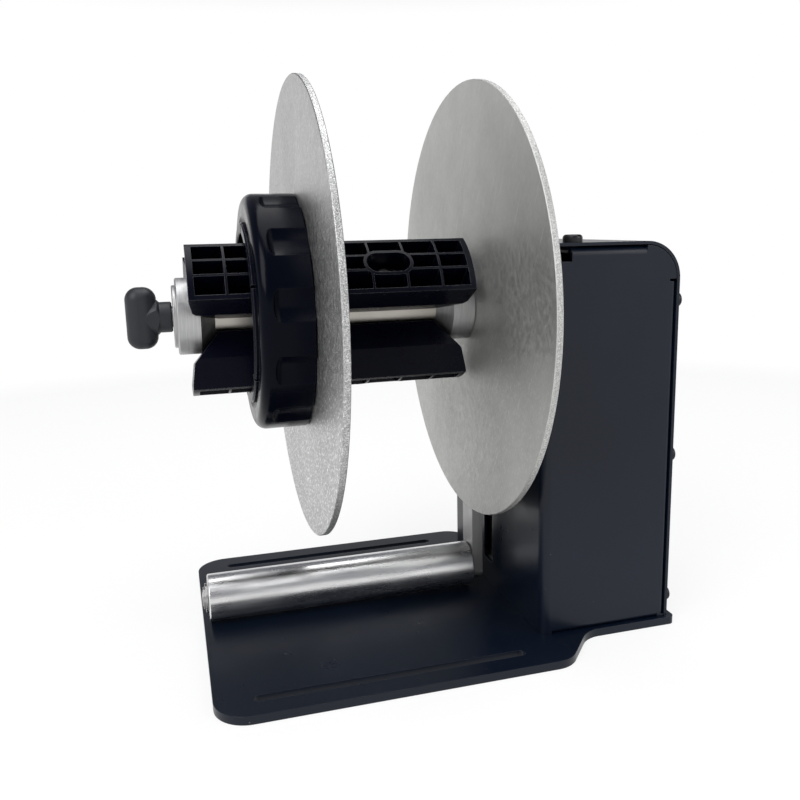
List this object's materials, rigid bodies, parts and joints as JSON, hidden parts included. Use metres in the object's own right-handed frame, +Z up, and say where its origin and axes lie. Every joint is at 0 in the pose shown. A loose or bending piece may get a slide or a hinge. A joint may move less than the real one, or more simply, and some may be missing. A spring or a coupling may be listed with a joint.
{
  "type": "label rewinder",
  "caption": "Benchtop label rewinder: expanding mandrel between two flange discs on a cantilevered spindle, with a dancer roller, sheet-metal housing and slotted base.",
  "frame": {"origin": "centre of the base plate's underside", "axes": "+X along the spindle from the clamp knob towards the housing, +Y across the base away from the picture's camera, +Z up"},
  "size_m": [0.2668, 0.22, 0.273],
  "materials": {
    "black_coat": "satin",
    "flange_aluminium": "satin",
    "machined_aluminium": "satin",
    "shaft_steel": "satin",
    "roller_steel": "polished",
    "arm_steel": "satin",
    "mandrel_plastic": "satin",
    "ring_plastic": "gloss",
    "knob_plastic": "matte",
    "screw_black": "satin",
    "zinc_steel": "satin",
    "bearing_steel": "polished",
    "drive_rubber": "matte",
    "board": "satin",
    "control_plastic": "satin"
  },
  "bodies": {
    "base": {"base_plate": "black_coat", "housing_body": "black_coat", "cover": "black_coat", "rear_screw_1": "screw_black", "rear_screw_2": "screw_black", "rear_screw_3": "screw_black", "rear_screw_4": "screw_black", "rear_screw_5": "screw_black", "rear_screw_6": "screw_black", "top_screw_1": "screw_black", "top_screw_2": "screw_black", "base_screw_1": "screw_black", "base_screw_2": "screw_black", "base_screw_3": "screw_black", "base_screw_4": "screw_black", "bearing_block_front": "machined_aluminium", "bearing_front": "bearing_steel", "bearing_block_rear": "machined_aluminium", "bearing_rear": "bearing_steel", "inner_bracket": "zinc_steel", "gear_motor": "zinc_steel", "drive_belt": "drive_rubber", "control_board": "board", "dc_inlet": "control_plastic", "rocker_frame": "control_plastic", "potentiometer": "zinc_steel", "guide_rod_1": "zinc_steel", "guide_rod_2": "zinc_steel", "rod_block_lower": "machined_aluminium", "rod_block_upper": "machined_aluminium"},
    "spindle": {"shaft": "shaft_steel", "inner_cone": "machined_aluminium", "inner_flange": "flange_aluminium", "flange_hub": "machined_aluminium", "spindle_pulley": "machined_aluminium", "guide_screw_1": "zinc_steel", "guide_screw_2": "zinc_steel", "guide_screw_3": "zinc_steel", "guide_screw_4": "zinc_steel", "guide_screw_5": "zinc_steel", "guide_screw_6": "zinc_steel"},
    "mandrel_segment_1": {"segment_1": "mandrel_plastic"},
    "mandrel_segment_2": {"segment_2": "mandrel_plastic"},
    "mandrel_segment_3": {"segment_3": "mandrel_plastic"},
    "clamp_collar": {"outer_cone": "machined_aluminium"},
    "knob": {"clamp_knob": "knob_plastic", "clamp_stud": "zinc_steel"},
    "sliding_flange": {"outer_flange": "flange_aluminium", "clamp_hub": "mandrel_plastic"},
    "ring": {"lock_ring": "ring_plastic"},
    "dancer": {"dancer_arm": "arm_steel", "arm_screw_1": "zinc_steel", "arm_screw_2": "zinc_steel", "carriage": "machined_aluminium", "roller_axle": "zinc_steel", "axle_cap": "zinc_steel"},
    "idler": {"roller": "roller_steel"},
    "motor_output": {"motor_rotor": "zinc_steel"},
    "power_switch": {"rocker": "control_plastic"},
    "speed_control": {"speed_knob": "control_plastic"}
  },
  "joints": [
    {"name": "spindle_spin", "type": "hinge", "parent": "base", "child": "spindle", "pos_m": [0, 0, 0.163], "axis": [1, 0, 0], "continuous": true},
    {"name": "motor_spin", "type": "hinge", "parent": "base", "child": "motor_output", "pos_m": [0, -0.034, 0.1], "axis": [1, 0, 0], "continuous": true},
    {"name": "clamp_slide", "type": "slide", "parent": "spindle", "child": "clamp_collar", "axis": [1, 0, 0], "range_m": [-0.002, 0]},
    {"name": "knob_turn", "type": "hinge", "parent": "clamp_collar", "child": "knob", "pos_m": [0, 0, 0.163], "axis": [1, 0, 0], "range_deg": [-366, 0]},
    {"name": "segment_1_slide", "type": "slide", "parent": "spindle", "child": "mandrel_segment_1", "axis": [0.6428, -0.5953, 0.4821], "range_m": [-0.0018, 0]},
    {"name": "segment_2_slide", "type": "slide", "parent": "spindle", "child": "mandrel_segment_2", "axis": [0.6428, -0.1198, -0.7566], "range_m": [-0.0018, 0]},
    {"name": "segment_3_slide", "type": "slide", "parent": "spindle", "child": "mandrel_segment_3", "axis": [0.6428, 0.7152, 0.2745], "range_m": [-0.0018, 0]},
    {"name": "flange_slide", "type": "slide", "parent": "spindle", "child": "sliding_flange", "axis": [1, 0, 0], "range_m": [-0.09, 0.078]},
    {"name": "ring_turn", "type": "hinge", "parent": "sliding_flange", "child": "ring", "pos_m": [0, 0, 0.163], "axis": [1, 0, 0], "range_deg": [-60, 0]},
    {"name": "dancer_lift", "type": "slide", "parent": "base", "child": "dancer", "axis": [0, 0, 1], "range_m": [0, 0.024]},
    {"name": "roller_spin", "type": "hinge", "parent": "dancer", "child": "idler", "pos_m": [0, 0.007, 0.0164], "axis": [1, 0, 0], "continuous": true},
    {"name": "rocker_tilt", "type": "hinge", "parent": "base", "child": "power_switch", "pos_m": [0.1103, 0.04, 0.128], "axis": [0, 1, 0], "range_deg": [0, 16]},
    {"name": "speed_turn", "type": "hinge", "parent": "base", "child": "speed_control", "pos_m": [0.112, -0.038, 0.15], "axis": [1, 0, 0], "range_deg": [0, 300]}
  ],
  "couplings": [
    {"joint": "motor_spin", "follows": "spindle_spin", "ratio": 2},
    {"joint": "knob_turn", "follows": "clamp_slide", "rad_per_m": 3141.6},
    {"joint": "segment_1_slide", "follows": "clamp_slide", "ratio": 0.77786},
    {"joint": "segment_2_slide", "follows": "clamp_slide", "ratio": 0.77786},
    {"joint": "segment_3_slide", "follows": "clamp_slide", "ratio": 0.77786}
  ]
}
